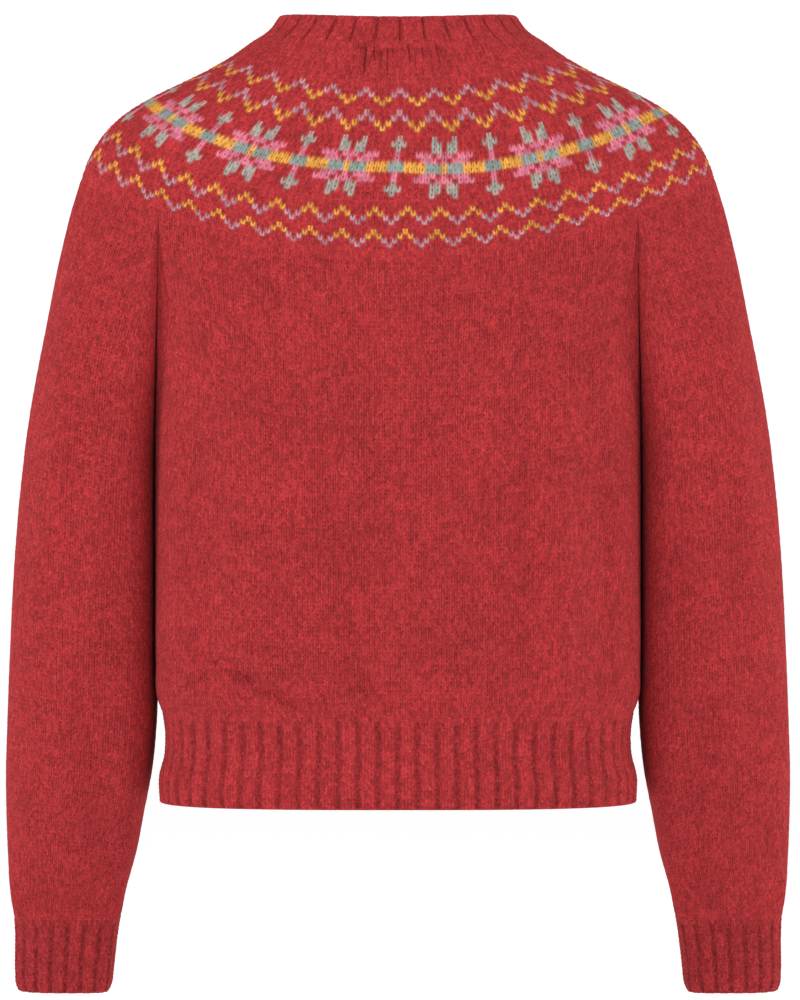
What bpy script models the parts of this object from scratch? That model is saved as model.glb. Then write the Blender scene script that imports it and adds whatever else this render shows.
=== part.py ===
"""A circular-yoke fair isle jumper, worn and filled out, as nine knitted pieces with real walls.

Metres, +Z up. The back of the garment faces -Y and the wearer's right is +X. The origin is on the
centre line at the height of the shoulders, 0.026 below the back of the neckband's seam.
"""

import math

import bpy
import numpy as np

# Cloth
WALL = 0.0022
RIB_RAISE = 0.0012
SEAM_HALF_GAP = 0.00017

# Shoulder level lines of the yoke, each a Bezier: its four control points from the neck seam down
YOKE_SIDE_LINE = ((0.1030, 0.0330), (0.1500, -0.0070), (0.2020, -0.0035), (0.2205, -0.0620))
YOKE_BACK_LINE = ((-0.0700, 0.0254), (-0.0780, -0.0100), (-0.0850, -0.0700), (-0.0880, -0.1222))
YOKE_FRONT_LINE = ((0.0880, -0.0320), (0.1050, -0.0600), (0.1240, -0.1050), (0.1280, -0.1520))
YOKE_WIDEST_Y = (0.004, -0.014, -0.006)
YOKE_POWERS = (2.0, 2.1)

# Armhole: the seam between body and sleeve, from the yoke's edge down under the arm
ARMHOLE_X = 0.1641
ARMHOLE_TURN = 0.0055
ARMHOLE_EASE = math.radians(50)
UNDERARM_Z = -0.178
UNDERARM_Y = 0.022

# Levels of the rib seams and the open edges
HEM_SEAM_Z = -0.4347
HEM_Z = -0.4975
CUFF_SEAM_Z = -0.5815
CUFF_Z = -0.6335

BODY_MIDDLE_Y = 0.016
BODY_POWER = 3.0
BODY_FADE = 0.090
BODY_CHEST_LEVEL = -0.2600
BODY_EASE = 0.97
BODY_COLUMNS = ("level", "half_width", "back", "front")
BODY = (
    (-0.0600, 0.1690, -0.0820, 0.1200),
    (-0.1220, 0.1696, -0.0880, 0.1270),
    (-0.1800, 0.1697, -0.0905, 0.1310),
    (-0.2600, 0.1697, -0.0925, 0.1290),
    (-0.3400, 0.1697, -0.0945, 0.1220),
    (-0.4000, 0.1695, -0.0955, 0.1160),
    (-0.4250, 0.1684, -0.0950, 0.1125),
    (-0.4347, 0.1650, -0.0925, 0.1090),
)
HEM = (
    (-0.4347, 0.1650, -0.0925, 0.1090),
    (-0.4490, 0.1630, -0.0915, 0.1080),
    (-0.4650, 0.1636, -0.0915, 0.1075),
    (-0.4800, 0.1672, -0.0925, 0.1080),
    (-0.4975, 0.1668, -0.0925, 0.1075),
)

SLEEVE_POWER = 2.35
SLEEVE_FADE = 0.120
OVER_ARM_SHARE = 0.57
SLEEVE_COLUMNS = ("level", "inner", "outer", "depth", "middle")
SLEEVE = (
    (-0.0600, 0.1640, 0.2200, 0.1400, 0.0120),
    (-0.0842, 0.1680, 0.2278, 0.1410, 0.0135),
    (-0.1124, 0.1700, 0.2352, 0.1420, 0.0150),
    (-0.1687, 0.1711, 0.2473, 0.1390, 0.0180),
    (-0.2250, 0.1713, 0.2583, 0.1330, 0.0210),
    (-0.2814, 0.1713, 0.2656, 0.1280, 0.0230),
    (-0.3378, 0.1713, 0.2703, 0.1230, 0.0250),
    (-0.3944, 0.1713, 0.2733, 0.1180, 0.0270),
    (-0.4368, 0.1716, 0.2751, 0.1130, 0.0290),
    (-0.4794, 0.1754, 0.2765, 0.1070, 0.0310),
    (-0.5078, 0.1808, 0.2763, 0.1010, 0.0320),
    (-0.5362, 0.1862, 0.2754, 0.0910, 0.0330),
    (-0.5645, 0.1938, 0.2738, 0.0760, 0.0340),
    (-0.5815, 0.1970, 0.2713, 0.0620, 0.0345),
)
CUFF = (
    (-0.5815, 0.1970, 0.2713, 0.0620, 0.0345),
    (-0.5930, 0.1988, 0.2708, 0.0590, 0.0345),
    (-0.6210, 0.2021, 0.2708, 0.0570, 0.0350),
    (-0.6290, 0.2030, 0.2702, 0.0560, 0.0350),
    (-0.6335, 0.2046, 0.2684, 0.0530, 0.0350),
)

# Soft folds of the worn cloth, each a ridge or, below zero, a trough that runs down a panel
FOLD_COLUMNS = ("across", "lean", "top", "foot", "half_width", "lift")
BACK_FOLDS = (
    (0.105, 0.010, -0.200, -0.470, 0.015, 0.0040),
    (0.137, 0.010, -0.220, -0.460, 0.012, -0.0030),
    (-0.036, -0.014, -0.210, -0.470, 0.019, -0.0034),
    (-0.072, -0.010, -0.270, -0.450, 0.015, 0.0022),
    (-0.122, 0.012, -0.130, -0.440, 0.018, 0.0026),
    (0.040, 0.006, -0.300, -0.450, 0.020, 0.0016),
)
FRONT_FOLDS = (
    (-0.104, -0.012, -0.190, -0.470, 0.017, 0.0040),
    (-0.136, -0.010, -0.220, -0.450, 0.013, -0.0030),
    (0.030, 0.012, -0.230, -0.470, 0.020, -0.0034),
    (0.072, 0.014, -0.200, -0.450, 0.017, 0.0030),
    (0.118, -0.008, -0.170, -0.440, 0.016, 0.0022),
)
SLEEVE_FOLDS = (
    (0.022, 0.012, -0.180, -0.330, 0.013, -0.0024),
    (-0.014, 0.010, -0.250, -0.430, 0.015, 0.0026),
    (0.012, -0.016, -0.400, -0.590, 0.012, 0.0026),
    (-0.022, -0.010, -0.440, -0.600, 0.010, -0.0022),
)
FOLD_EASE = 0.030
FOLD_ENDS = 0.75

# Neckband: level 0 is the seam to the yoke and 1 the open rim
NECKBAND_COLUMNS = ("level", "half_width", "side", "back", "back_z", "front", "front_z")
NECKBAND = (
    (0.0, 0.1030, 0.0330, -0.0700, 0.0254, 0.0880, -0.0320),
    (0.5, 0.0908, 0.0412, -0.0645, 0.0360, 0.0800, -0.0205),
    (1.0, 0.0830, 0.0515, -0.0600, 0.0450, 0.0730, -0.0080),
)

# Ribs round each band
HEM_RIBS = 67
CUFF_RIBS = 20
NECK_RIBS = 34
RIB_POINT_COLUMNS = ("share_of_rib", "raised")
RIB_POINTS = ((0.0, 0.0), (0.3, 1.0), (0.7, 1.0))

# Facets: columns of each arc of a ring, and rows of each piece
ARC_COLUMNS = {"back": 24, "over_arm": 14, "underarm": 10, "front": 24}
ROWS = {"yoke": 8, "body": 10, "sleeve": 12, "hem": 2, "cuff": 2, "neckband": 2}
FINE = 720
STEP = 0.01
SHARP_ANGLE = math.radians(50)

KNIT_RED = (0.410, 0.038, 0.040, 1.0)
RIB_RED = (0.365, 0.032, 0.036, 1.0)
YOKE_RED = (0.425, 0.042, 0.046, 1.0)


def smooth(x):
    """0 to 1 with level ends."""
    x = np.clip(x, 0.0, 1.0)
    return x * x * (3.0 - 2.0 * x)


def unit(vectors):
    return vectors / np.linalg.norm(vectors, axis=-1, keepdims=True)


def read(table, columns, name, level):
    """One column of a table at any level, on a smooth curve through its rows."""
    rows = np.array(sorted(table))
    x, y = rows[:, 0], rows[:, columns.index(name)]
    slopes = np.gradient(y, x)
    i = np.clip(np.searchsorted(x, level) - 1, 0, len(x) - 2)
    step = x[i + 1] - x[i]
    s = np.clip((level - x[i]) / step, 0.0, 1.0)
    start = y[i] * (1 - s) ** 2 * (1 + 2 * s) + slopes[i] * step * s * (1 - s) ** 2
    return start + y[i + 1] * s**2 * (3 - 2 * s) - slopes[i + 1] * step * s**2 * (1 - s)


def bezier_evenly(control, share):
    """Points of a Bezier at shares of its length."""
    t = np.linspace(0, 1, FINE)[:, None]
    p = np.array(control)
    line = (1 - t) ** 3 * p[0] + 3 * t * (1 - t) ** 2 * p[1] + 3 * t**2 * (1 - t) * p[2] + t**3 * p[3]
    run = np.r_[0, np.cumsum(np.linalg.norm(np.diff(line, axis=0), axis=1))]
    return [np.interp(share * run[-1], run, line[:, k]) for k in range(2)]


def oval(angles, half_width, back, front, middle, power):
    """x and y of a rounded loop. Angle 0 is the centre of the back, and it turns towards +X."""
    s, c = np.sin(angles), np.cos(angles)
    x = half_width * np.sign(s) * np.abs(s) ** (2 / power)
    reach = np.where(c > 0, middle - back, front - middle)
    return x, middle - reach * np.sign(c) * np.abs(c) ** (2 / power)


def at_shares(loop, shares):
    """Points of a closed loop at shares of its length from its first point."""
    closed = np.vstack([loop, loop[:1]])
    run = np.r_[0, np.cumsum(np.linalg.norm(np.diff(closed, axis=0), axis=1))]
    wanted = np.mod(shares, 1.0) * run[-1]
    return np.stack([np.interp(wanted, run, closed[:, k]) for k in range(3)], axis=-1)


def full_turn():
    return np.linspace(0, 2 * math.pi, FINE, endpoint=False)


def ring_normals(grid):
    """Outward normals of a ring's grid, whose rows run down and columns turn from back to +X."""
    across = np.roll(grid, -1, axis=1) - np.roll(grid, 1, axis=1)
    down = np.gradient(grid, axis=0)
    return unit(np.cross(down, across))


# Yoke


def yoke_loop(t):
    """The yoke's loop at a share t of the way from the neck seam to its lower edge."""
    side_x, side_z = bezier_evenly(YOKE_SIDE_LINE, t)
    back_y, back_z = bezier_evenly(YOKE_BACK_LINE, t)
    front_y, front_z = bezier_evenly(YOKE_FRONT_LINE, t)
    top, half_way, edge = YOKE_WIDEST_Y
    middle = top * (1 - t) * (1 - 2 * t) + half_way * 4 * t * (1 - t) + edge * t * (2 * t - 1)
    power = YOKE_POWERS[0] + (YOKE_POWERS[1] - YOKE_POWERS[0]) * t
    angles = full_turn()
    x, y = oval(angles, side_x, back_y, front_y, middle, power)
    end_z = np.where(np.cos(angles) > 0, back_z, front_z)
    return np.stack([x, y, side_z + (end_z - side_z) * np.cos(angles) ** 2], axis=-1)


def armhole_shares():
    """Shares of the yoke's lower edge where the +X armhole starts, behind and in front of the arm."""
    edge = yoke_loop(1.0)
    shares = np.linspace(0, 0.5, FINE)
    x = at_shares(edge, shares)[:, 0]
    widest = int(np.argmax(x))
    behind = np.interp(ARMHOLE_X, x[: widest + 1], shares[: widest + 1])
    ahead = np.interp(ARMHOLE_X, x[widest:][::-1], shares[widest:][::-1])
    return behind, ahead


def yoke_shares():
    """Shares of the yoke's columns, with one at each start of an armhole."""
    behind, ahead = armhole_shares()
    half_back = np.linspace(0, behind, ARC_COLUMNS["back"] // 2, endpoint=False)
    over_arm = np.linspace(behind, ahead, ARC_COLUMNS["over_arm"], endpoint=False)
    half_front = np.linspace(ahead, 0.5, ARC_COLUMNS["front"] // 2, endpoint=False)
    right = np.concatenate([half_back, over_arm, half_front])
    return np.concatenate([right, [0.5], 1 - right[:0:-1]])


def yoke_grid(shares, rows):
    return np.array([at_shares(yoke_loop(t), shares) for t in np.linspace(0, 1, rows + 1)])


def yoke_rim(t, shares):
    """Points, normals and downward directions of the yoke's rim at t, 0 for the neck seam or 1."""
    rim = at_shares(yoke_loop(t), shares)
    inward = at_shares(yoke_loop(STEP if t == 0 else 1 - STEP), shares)
    down = unit(inward - rim) if t == 0 else unit(rim - inward)
    across = at_shares(yoke_loop(t), shares + 1 / FINE) - at_shares(yoke_loop(t), shares - 1 / FINE)
    return rim, unit(np.cross(down, across)), down


def yoke_edge(shares):
    return yoke_rim(1, shares)


def neck_edge(shares):
    return yoke_rim(0, shares)


# Armholes, at +X


def armhole(turn):
    """Points of the armhole, at angles from -pi/2 behind the arm through 0 under it to pi/2."""
    behind, ahead = armhole_shares()
    ends, _, _ = yoke_edge(np.array([behind, ahead]))
    start = np.where(turn < 0, ends[0, 2], ends[1, 2])
    reach = np.where(turn < 0, UNDERARM_Y - ends[0, 1], ends[1, 1] - UNDERARM_Y)
    y = UNDERARM_Y + reach * np.sin(turn)
    z = start + (UNDERARM_Z - start) * np.cos(turn)
    x = ARMHOLE_X + ARMHOLE_TURN * np.cos(turn) ** 2
    return np.stack([x, y, z], axis=-1)


def armhole_normals(turn, outward):
    """Normals along the armhole. They turn from the yoke's to straight out of the body or sleeve."""
    behind, ahead = armhole_shares()
    _, ends, _ = yoke_edge(np.array([behind, ahead]))
    start = np.where(turn[:, None] < 0, ends[0], ends[1])
    share = smooth(np.cos(turn) / math.sin(ARMHOLE_EASE))[:, None]
    facing = np.where(turn[:, None] < 0, [[0, -1, 0]], [[0, 1, 0]])
    first = unit(start + (facing - start) * np.minimum(2 * share, 1))
    return unit(first + (np.array([outward, 0, 0]) - first) * smooth(share))


# Body


def body_top():
    """Points, normals and downward directions of the body's top edge, once round from the back."""
    behind, ahead = armhole_shares()
    back = np.linspace(0, behind, ARC_COLUMNS["back"] // 2 + 1)
    turns = np.linspace(-math.pi / 2, math.pi / 2, ARC_COLUMNS["underarm"] + 1)[1:-1]
    front = np.linspace(ahead, 0.5, ARC_COLUMNS["front"] // 2 + 1)
    back_edge, back_normals, back_down = yoke_edge(back)
    front_edge, front_normals, front_down = yoke_edge(front)
    under = armhole(turns)
    under_down = np.tile([-1.0, 0.0, 0.0], (len(turns), 1))
    points = np.vstack([back_edge, under, front_edge])
    normals = np.vstack([back_normals, armhole_normals(turns, 1.0), front_normals])
    down = np.vstack([back_down, under_down, front_down])
    for corner in (len(back) - 1, len(back) + len(turns)):
        down[corner] += [-1.0, 0.0, 0.0]
    mirror = np.array([-1.0, 1.0, 1.0])
    return tuple(np.vstack([part, part[-2:0:-1] * mirror]) for part in (points, normals, down))


def body_section(shares, levels):
    """Points of the body at shares of its girth, each at its own level."""
    angles = full_turn()
    points = []
    for share, level in zip(shares, levels):
        sizes = [read(BODY, BODY_COLUMNS, name, level) for name in BODY_COLUMNS[1:]]
        x, y = oval(angles, *sizes, BODY_MIDDLE_Y, BODY_POWER)
        loop = np.stack([x, y, np.full(FINE, level)], axis=-1)
        points.append(at_shares(loop, np.array([share]))[0])
    return np.array(points)


def body_shares():
    """Shares of the girth for the body's columns: arcs as long as the yoke edge's, the rest underarm."""
    behind, ahead = armhole_shares()
    sizes = [read(BODY, BODY_COLUMNS, name, BODY_CHEST_LEVEL) for name in BODY_COLUMNS[1:]]
    x, y = oval(full_turn(), *sizes, BODY_MIDDLE_Y, BODY_POWER)
    chest = loop_length(np.stack([x, y, np.zeros(FINE)], axis=-1))
    spread = loop_length(yoke_loop(1.0)) / chest * BODY_EASE
    back_end = behind * spread
    front_end = 0.5 - (0.5 - ahead) * spread
    back = np.linspace(0, back_end, ARC_COLUMNS["back"] // 2, endpoint=False)
    under = np.linspace(back_end, front_end, ARC_COLUMNS["underarm"], endpoint=False)
    front = np.linspace(front_end, 0.5, ARC_COLUMNS["front"] // 2, endpoint=False)
    right = np.concatenate([back, under, front])
    return np.concatenate([right, [0.5], 1 - right[:0:-1]])


def loop_length(loop):
    return float(np.linalg.norm(np.roll(loop, -1, axis=0) - loop, axis=1).sum())


def folded(points, table, across, depth, facing):
    """Points moved along Y by a table's folds. The depth is Y from the middle, and facing is a sign."""
    moved = points.copy()
    on_side = smooth(facing * depth / FOLD_EASE)
    for row in table:
        fold = dict(zip(FOLD_COLUMNS, row))
        share = (fold["top"] - points[..., 2]) / (fold["top"] - fold["foot"])
        line = fold["across"] + fold["lean"] * share
        near = np.exp(-(((across - line) / fold["half_width"]) ** 2))
        along = np.clip(4 * share * (1 - share), 0, 1) ** FOLD_ENDS
        moved[..., 1] += facing * fold["lift"] * near * along * on_side
    return moved


def hanging_grid(top, section, shares, bottom, fade, rows):
    """Rows from a top edge down to a level seam, easing from the edge's form to the sections'."""
    start = section(shares, top[:, 2])
    offset = top - start
    grid = []
    for t in np.linspace(0, 1, rows + 1):
        levels = top[:, 2] + (bottom - top[:, 2]) * t
        left = 1 - smooth((top[:, 2] - levels) / fade)
        points = section(shares, levels) + offset * left[:, None]
        points[:, 2] = levels
        grid.append(points)
    return np.array(grid)


# Sleeves, at +X


def sleeve_top():
    """The sleeve's top edge: over the arm from behind it to in front, then back under it."""
    behind, ahead = armhole_shares()
    over = np.linspace(behind, ahead, ARC_COLUMNS["over_arm"] + 1)
    turns = np.linspace(math.pi / 2, -math.pi / 2, ARC_COLUMNS["underarm"] + 1)[1:-1]
    edge, normals, down = yoke_edge(over)
    under_down = np.tile([1.0, 0.0, 0.0], (len(turns), 1))
    down[0] += [1.0, 0.0, 0.0]
    down[-1] += [1.0, 0.0, 0.0]
    points = np.vstack([edge, armhole(turns)])
    return points, np.vstack([normals, armhole_normals(turns, -1.0)]), np.vstack([down, under_down])


def sleeve_section(table, shares, levels):
    """Points of the sleeve at shares of its girth. Share 0 is its outermost line."""
    angles = full_turn()
    points = []
    for share, level in zip(shares, levels):
        inner, outer, depth, middle = (
            read(table, SLEEVE_COLUMNS, name, level) for name in SLEEVE_COLUMNS[1:]
        )
        y, x = oval(angles, depth / 2, 0, outer - inner, (outer - inner) / 2, SLEEVE_POWER)
        loop = np.stack([outer - x, middle + y, np.full(FINE, level)], axis=-1)
        points.append(at_shares(loop, np.array([share]))[0])
    return np.array(points)


def sleeve_shares():
    """Shares of the sleeve's girth for the columns of its top edge."""
    over = np.linspace(-OVER_ARM_SHARE / 2, OVER_ARM_SHARE / 2, ARC_COLUMNS["over_arm"] + 1)
    under = np.linspace(OVER_ARM_SHARE / 2, 1 - OVER_ARM_SHARE / 2, ARC_COLUMNS["underarm"] + 1)
    return np.concatenate([over, under[1:-1]])


# Walls


def wall_mesh(name, outer, inner, closed):
    """A mesh with an outer and an inner face joined round its edges."""
    rows, columns = outer.shape[:2]
    points = np.vstack([outer.reshape(-1, 3), inner.reshape(-1, 3)])
    inside = rows * columns
    last = columns if closed else columns - 1
    faces = []
    for r in range(rows - 1):
        for c in range(last):
            a, b = r * columns + c, r * columns + (c + 1) % columns
            faces.append((a, a + columns, b + columns, b))
            faces.append((inside + a, inside + b, inside + b + columns, inside + a + columns))
    foot = (rows - 1) * columns
    for c in range(last):
        a, b = c, (c + 1) % columns
        faces.append((a, b, inside + b, inside + a))
        faces.append((foot + b, foot + a, inside + foot + a, inside + foot + b))
    if not closed:
        for r in range(rows - 1):
            a, b = r * columns, (r + 1) * columns
            faces.append((b, a, inside + a, inside + b))
            a, b = a + columns - 1, b + columns - 1
            faces.append((a, b, inside + b, inside + a))
    mesh = bpy.data.meshes.new(name)
    mesh.from_pydata(points.tolist(), [], faces)
    mesh.shade_smooth()
    mesh.set_sharp_from_angle(angle=SHARP_ANGLE)
    return mesh


def material(name, colour, roughness):
    made = bpy.data.materials.new(name)
    made.use_nodes = True
    shader = made.node_tree.nodes["Principled BSDF"]
    shader.inputs["Base Color"].default_value = colour
    shader.inputs["Roughness"].default_value = roughness
    shader.inputs["Metallic"].default_value = 0.0
    return made


def add(name, mesh, finish):
    placed = bpy.data.objects.new(name, mesh)
    placed.data.materials.append(finish)
    bpy.context.collection.objects.link(placed)
    return placed


def mirrored(points):
    """The same grid on the other side, with its columns turned round so that it faces out."""
    return points[:, ::-1] * np.array([-1.0, 1.0, 1.0])


def make_yoke(finish):
    shares = yoke_shares()
    grid = yoke_grid(shares, ROWS["yoke"])
    normals = ring_normals(grid)
    neck, neck_normals, neck_down = neck_edge(shares)
    edge, edge_normals, edge_down = yoke_edge(shares)
    grid[0] = neck + neck_down * SEAM_HALF_GAP
    grid[-1] = edge - edge_down * SEAM_HALF_GAP
    normals[0], normals[-1] = neck_normals, edge_normals
    add("yoke", wall_mesh("yoke", grid, grid - normals * WALL, True), finish)


def level_normals(normals):
    return unit(normals * np.array([1.0, 1.0, 0.0]))


def body_grids():
    """The body's outer grid and normals, once round from the centre of the back."""
    top, top_normals, top_down = body_top()
    grid = hanging_grid(top, body_section, body_shares(), HEM_SEAM_Z, BODY_FADE, ROWS["body"])
    for table, facing in ((BACK_FOLDS, -1.0), (FRONT_FOLDS, 1.0)):
        grid = folded(grid, table, grid[..., 0], grid[..., 1] - BODY_MIDDLE_Y, facing)
    normals = ring_normals(grid)
    grid[0] = top + top_down * SEAM_HALF_GAP
    normals[0] = top_normals
    grid[-1, :, 2] += SEAM_HALF_GAP
    normals[-1] = level_normals(normals[-1])
    return grid, normals


def make_body(finish):
    grid, normals = body_grids()
    side = ARC_COLUMNS["back"] // 2 + ARC_COLUMNS["underarm"] // 2
    columns = grid.shape[1]
    back = np.arange(-side, side + 1) % columns
    front = np.arange(side, columns - side + 1)
    for name, chosen, away in (("body_back", back, -1.0), ("body_front", front, 1.0)):
        panel = grid[:, chosen].copy()
        facing = normals[:, chosen]
        inner = panel - facing * WALL
        for part in (panel, inner):
            part[:, [0, -1], 1] += away * SEAM_HALF_GAP
        add(name, wall_mesh(name, panel, inner, False), finish)


def make_sleeves(finish):
    top, top_normals, top_down = sleeve_top()

    def section(shares, levels):
        return sleeve_section(SLEEVE, shares, levels)

    grid = hanging_grid(top, section, sleeve_shares(), CUFF_SEAM_Z, SLEEVE_FADE, ROWS["sleeve"])
    inner, outer, _, middle = (
        read(SLEEVE, SLEEVE_COLUMNS, name, grid[..., 2]) for name in SLEEVE_COLUMNS[1:]
    )
    for facing in (-1.0, 1.0):
        across, depth = grid[..., 0] - (inner + outer) / 2, grid[..., 1] - middle
        grid = folded(grid, SLEEVE_FOLDS, across, depth, facing)
    normals = ring_normals(grid)
    grid[0] = top + top_down * SEAM_HALF_GAP
    normals[0] = top_normals
    grid[-1, :, 2] += SEAM_HALF_GAP
    normals[-1] = level_normals(normals[-1])
    inner = grid - normals * WALL
    add("sleeve_right", wall_mesh("sleeve_right", grid, inner, True), finish)
    other = wall_mesh("sleeve_left", mirrored(grid), mirrored(inner), True)
    add("sleeve_left", other, finish)


def rib_columns(ribs):
    """Shares and raises of the points of a ring of ribs."""
    shares = [(k + share) / ribs for k in range(ribs) for share, _ in RIB_POINTS]
    return np.array(shares), np.array([raised for _, raised in RIB_POINTS] * ribs)


def ribbed(grid, normals, raised):
    """A ribbed wall's outer points and its plain inner ones. The grid lies on the ribs' crests."""
    sunk = (1 - raised)[None, :, None] * RIB_RAISE
    return grid - normals * sunk, grid - normals * (WALL + RIB_RAISE)


def band_levels(top, bottom, rows):
    return np.linspace(top - SEAM_HALF_GAP, bottom, rows + 1)


def make_hem(finish):
    shares, raised = rib_columns(HEM_RIBS)
    angles = full_turn()
    grid = []
    for level in band_levels(HEM_SEAM_Z, HEM_Z, ROWS["hem"]):
        sizes = [read(HEM, BODY_COLUMNS, name, level) for name in BODY_COLUMNS[1:]]
        x, y = oval(angles, *sizes, BODY_MIDDLE_Y, BODY_POWER)
        grid.append(at_shares(np.stack([x, y, np.full(FINE, level)], axis=-1), shares))
    grid = np.array(grid)
    outer, inner = ribbed(grid, level_normals(ring_normals(grid)), raised)
    add("hem_rib", wall_mesh("hem_rib", outer, inner, True), finish)


def make_cuffs(finish):
    shares, raised = rib_columns(CUFF_RIBS)
    levels = band_levels(CUFF_SEAM_Z, CUFF_Z, ROWS["cuff"])
    grid = np.array([sleeve_section(CUFF, shares, np.full(len(shares), z)) for z in levels])
    outer, inner = ribbed(grid, level_normals(ring_normals(grid)), raised)
    add("cuff_right", wall_mesh("cuff_right", outer, inner, True), finish)
    other = wall_mesh("cuff_left", mirrored(outer), mirrored(inner), True)
    add("cuff_left", other, finish)


def neckband_loop(level):
    width, side, back, back_z, front, front_z = (
        read(NECKBAND, NECKBAND_COLUMNS, name, level) for name in NECKBAND_COLUMNS[1:]
    )
    angles = full_turn()
    x, y = oval(angles, width, back, front, YOKE_WIDEST_Y[0], YOKE_POWERS[0])
    end_z = np.where(np.cos(angles) > 0, back_z, front_z)
    return np.stack([x, y, side + (end_z - side) * np.cos(angles) ** 2], axis=-1)


def make_neckband(finish):
    shares, raised = rib_columns(NECK_RIBS)
    levels = np.linspace(1, 0, ROWS["neckband"] + 1)
    grid = np.array([at_shares(neckband_loop(level), shares) for level in levels])
    normals = ring_normals(grid)
    seam, seam_normals, seam_down = neck_edge(shares)
    grid[-1] = seam - seam_down * SEAM_HALF_GAP
    normals[-1] = seam_normals
    outer, inner = ribbed(grid, normals, raised)
    add("neckband", wall_mesh("neckband", outer, inner, True), finish)


for old in list(bpy.data.objects):
    bpy.data.objects.remove(old, do_unlink=True)

knit = material("knit_lambswool", KNIT_RED, 0.95)
rib = material("rib_lambswool", RIB_RED, 0.95)
yoke_knit = material("yoke_lambswool", YOKE_RED, 0.95)
make_neckband(rib)
make_yoke(yoke_knit)
make_body(knit)
make_sleeves(knit)
make_hem(rib)
make_cuffs(rib)
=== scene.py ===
import math

import bpy
import numpy as np
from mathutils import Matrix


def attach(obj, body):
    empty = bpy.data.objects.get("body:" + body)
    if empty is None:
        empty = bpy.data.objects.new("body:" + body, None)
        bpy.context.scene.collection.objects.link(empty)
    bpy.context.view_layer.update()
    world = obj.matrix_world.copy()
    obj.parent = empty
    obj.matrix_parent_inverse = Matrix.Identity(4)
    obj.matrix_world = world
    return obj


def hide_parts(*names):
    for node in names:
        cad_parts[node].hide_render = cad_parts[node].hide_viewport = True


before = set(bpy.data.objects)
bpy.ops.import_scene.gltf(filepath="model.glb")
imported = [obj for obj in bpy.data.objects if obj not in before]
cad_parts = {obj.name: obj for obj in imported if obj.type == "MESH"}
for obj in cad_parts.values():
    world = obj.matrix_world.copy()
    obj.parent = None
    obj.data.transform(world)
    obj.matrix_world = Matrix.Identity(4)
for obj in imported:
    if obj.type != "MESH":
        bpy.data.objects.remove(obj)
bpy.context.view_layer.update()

# Yoke: one ring of fine lambswool, knitted in the round over the shoulders and narrowed to the neck
# by rounds of decreases. The stars and zigzags are stranded from a chart as it is knitted.

yoke_side_line = ((0.1030, 0.0330), (0.1500, -0.0070), (0.2020, -0.0035), (0.2205, -0.0620))
yoke_back_line = ((-0.0700, 0.0254), (-0.0780, -0.0100), (-0.0850, -0.0700), (-0.0880, -0.1222))
yoke_front_line = ((0.0880, -0.0320), (0.1050, -0.0600), (0.1240, -0.1050), (0.1280, -0.1520))
yoke_widest_y = (0.004, -0.014, -0.006)
yoke_powers = (2.0, 2.1)
loop_points = 1440
cloth_wall = 0.0020
line_steps = 720
edge_round = 0.3
yarn_matting = 0.6
leg_middle = 0.125
column_heights = (-1.0, 1.0, -0.30, 1.0)
crease_angle = math.radians(68)


def smooth(x):
    """0 to 1 with level ends."""
    x = np.clip(x, 0.0, 1.0)
    return x * x * (3.0 - 2.0 * x)


def unit(vectors):
    return vectors / np.linalg.norm(vectors, axis=-1, keepdims=True)


def full_turn():
    return np.linspace(0, 2 * math.pi, loop_points, endpoint=False)


def bezier_evenly(control, share):
    """A point of a Bezier at a share of its length."""
    t = np.linspace(0, 1, line_steps)[:, None]
    p = np.array(control)
    line = (1 - t) ** 3 * p[0] + 3 * t * (1 - t) ** 2 * p[1] + 3 * t**2 * (1 - t) * p[2] + t**3 * p[3]
    run = np.r_[0, np.cumsum(np.linalg.norm(np.diff(line, axis=0), axis=1))]
    return [np.interp(share * run[-1], run, line[:, k]) for k in range(2)]


def oval(angles, half_width, back, front, middle, power):
    """x and y of a rounded loop. Angle 0 is the centre of the back, and it turns towards +X."""
    s, c = np.sin(angles), np.cos(angles)
    x = half_width * np.sign(s) * np.abs(s) ** (2 / power)
    reach = np.where(c > 0, middle - back, front - middle)
    return x, middle - reach * np.sign(c) * np.abs(c) ** (2 / power)


def at_shares(loop, shares):
    """Points of a closed loop at shares of its length from its first point."""
    closed = np.vstack([loop, loop[:1]])
    run = np.r_[0, np.cumsum(np.linalg.norm(np.diff(closed, axis=0), axis=1))]
    wanted = np.mod(shares, 1.0) * run[-1]
    return np.stack([np.interp(wanted, run, closed[:, k]) for k in range(3)], axis=-1)


def loop_length(loop):
    return float(np.linalg.norm(np.roll(loop, -1, axis=0) - loop, axis=1).sum())


def yoke_loop(t):
    """The yoke's loop at a share t of the way from the neck to its foot."""
    side_x, side_z = bezier_evenly(yoke_side_line, t)
    back_y, back_z = bezier_evenly(yoke_back_line, t)
    front_y, front_z = bezier_evenly(yoke_front_line, t)
    top, half_way, edge = yoke_widest_y
    middle = top * (1 - t) * (1 - 2 * t) + half_way * 4 * t * (1 - t) + edge * t * (2 * t - 1)
    power = yoke_powers[0] + (yoke_powers[1] - yoke_powers[0]) * t
    angles = full_turn()
    x, y = oval(angles, side_x, back_y, front_y, middle, power)
    end_z = np.where(np.cos(angles) > 0, back_z, front_z)
    return np.stack([x, y, side_z + (end_z - side_z) * np.cos(angles) ** 2], axis=-1)


def between_loops(loops, along):
    """Points of a surface given by its loops, at shares of the way down, a column for each place."""
    steps = len(loops) - 1
    place = np.clip(along, 0, 1) * steps
    above = np.minimum(place.astype(int), steps - 1)
    rest = (place - above)[..., None]
    column = np.arange(loops.shape[1])[None, :]
    return loops[above, column] * (1 - rest) + loops[above + 1, column] * rest


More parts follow.
